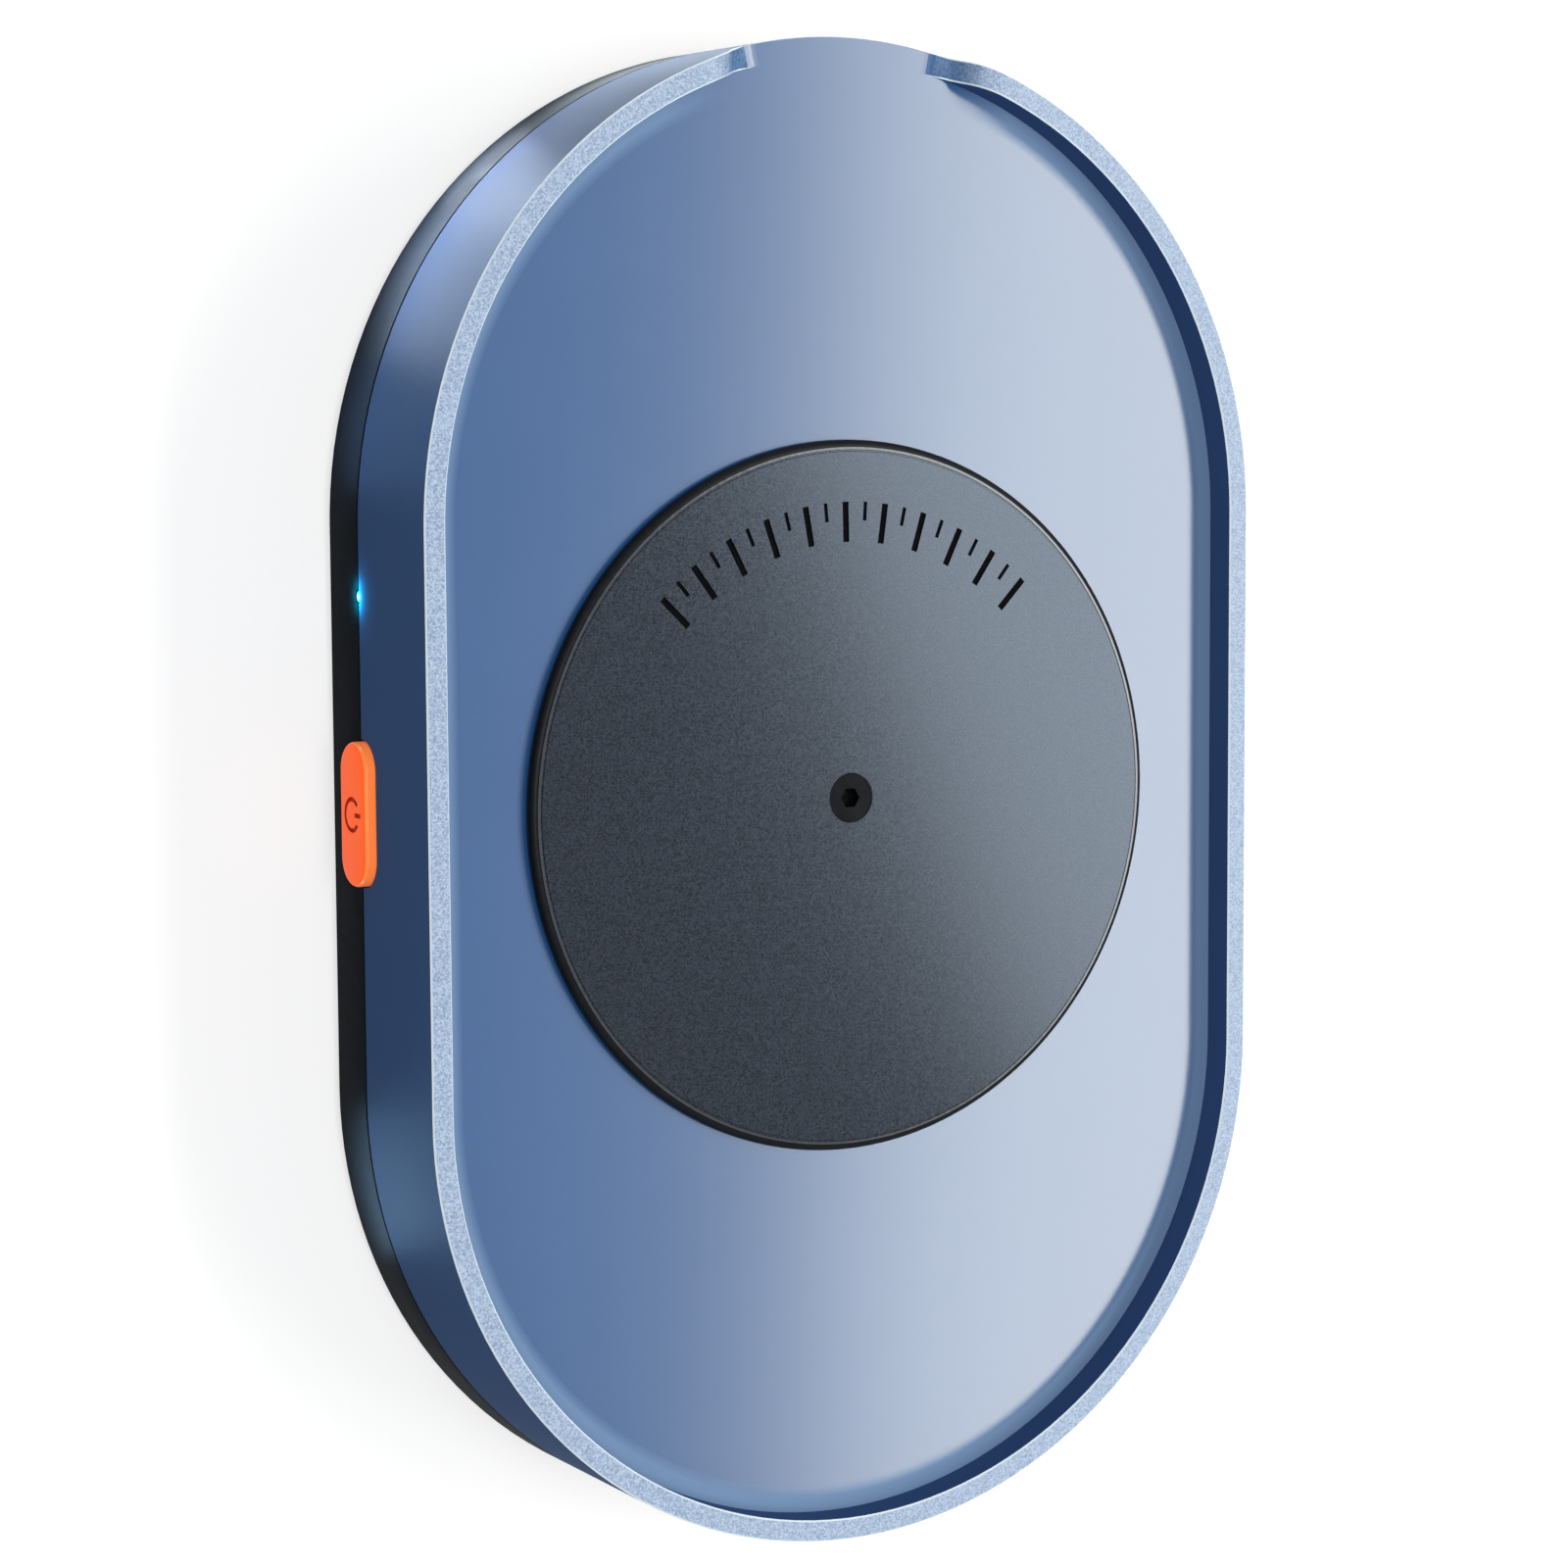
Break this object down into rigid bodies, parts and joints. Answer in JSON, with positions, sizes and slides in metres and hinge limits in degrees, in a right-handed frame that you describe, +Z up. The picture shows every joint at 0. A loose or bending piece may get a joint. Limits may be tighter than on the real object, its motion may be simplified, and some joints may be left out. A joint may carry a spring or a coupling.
{
  "type": "turntable mouse jiggler",
  "caption": "Flat rounded metal tray that an optical mouse stands in, with a slowly turning disc, a raised rim with a lead gap, a side push button and a status light.",
  "frame": {"origin": "on the table under the middle of the disc, which is the middle of the body", "axes": "+Z up through the disc's axis, +Y along the body to the rim gap and the power socket, the button and the light on the -X side"},
  "size_m": [0.0769, 0.1204, 0.0188],
  "materials": {
    "blue_anodised": "satin anodised",
    "black_abs": "fine moulded texture",
    "foot_rubber": "matt",
    "black_steel": "black oxide",
    "zinc_steel": "zinc plated",
    "nickel_steel": "nickel plated",
    "board": "solder mask",
    "chip_epoxy": "matt",
    "white_nylon": "moulded",
    "lead_insulation": "smooth",
    "orange_plastic": "satin",
    "clear_acrylic": "polished",
    "brass": "machined",
    "bronze": "sintered",
    "acetal": "natural",
    "charcoal_plastic": "fine grained"
  },
  "bodies": {
    "housing": {"top_shell": "blue_anodised", "bottom_cover": "black_abs", "rubber_feet": "foot_rubber", "case_screws": "black_steel", "circuit_board": "board", "board_screws": "zinc_steel", "usb_c_socket": "nickel_steel", "usb_c_tongue": "black_abs", "controller_chip": "chip_epoxy", "motor_driver_chip": "chip_epoxy", "motor_header": "white_nylon", "motor_leads": "lead_insulation", "tact_switch": "chip_epoxy", "status_led": "white_nylon", "light_pipe": "clear_acrylic", "motor_can": "zinc_steel", "motor_terminal": "white_nylon", "motor_screws": "zinc_steel", "idler_axle": "zinc_steel", "spindle_bush": "bronze", "thrust_washer": "acetal"},
    "turntable": {"turntable_disc": "charcoal_plastic", "disc_screw": "black_steel", "turntable_spindle": "zinc_steel", "spindle_clip": "zinc_steel", "turntable_gear": "acetal"},
    "idler": {"idler_gear": "acetal"},
    "rotor": {"motor_shaft": "zinc_steel", "motor_pinion": "brass"},
    "button": {"power_button": "orange_plastic"},
    "plunger": {"switch_plunger": "white_nylon"}
  },
  "joints": [
    {"name": "turntable_spin", "type": "hinge", "parent": "housing", "child": "turntable", "pos_m": [0, 0, 0.0171], "axis": [0, 0, 1], "continuous": true},
    {"name": "idler_spin", "type": "hinge", "parent": "housing", "child": "idler", "pos_m": [0, -0.0216, 0.005], "axis": [0, 0, 1], "continuous": true},
    {"name": "motor_spin", "type": "hinge", "parent": "housing", "child": "rotor", "pos_m": [0.01273, -0.03433, 0.005], "axis": [0, 0, 1], "continuous": true},
    {"name": "button_press", "type": "slide", "parent": "housing", "child": "button", "axis": [1, 0, 0], "range_m": [0, 0.0004], "stiffness_N_per_m": 2000},
    {"name": "plunger_press", "type": "slide", "parent": "housing", "child": "plunger", "axis": [1, 0, 0], "range_m": [0, 0.0004]}
  ],
  "couplings": [
    {"joint": "idler_spin", "follows": "turntable_spin", "ratio": -5},
    {"joint": "motor_spin", "follows": "turntable_spin", "ratio": 20},
    {"joint": "plunger_press", "follows": "button_press", "ratio": 1}
  ]
}
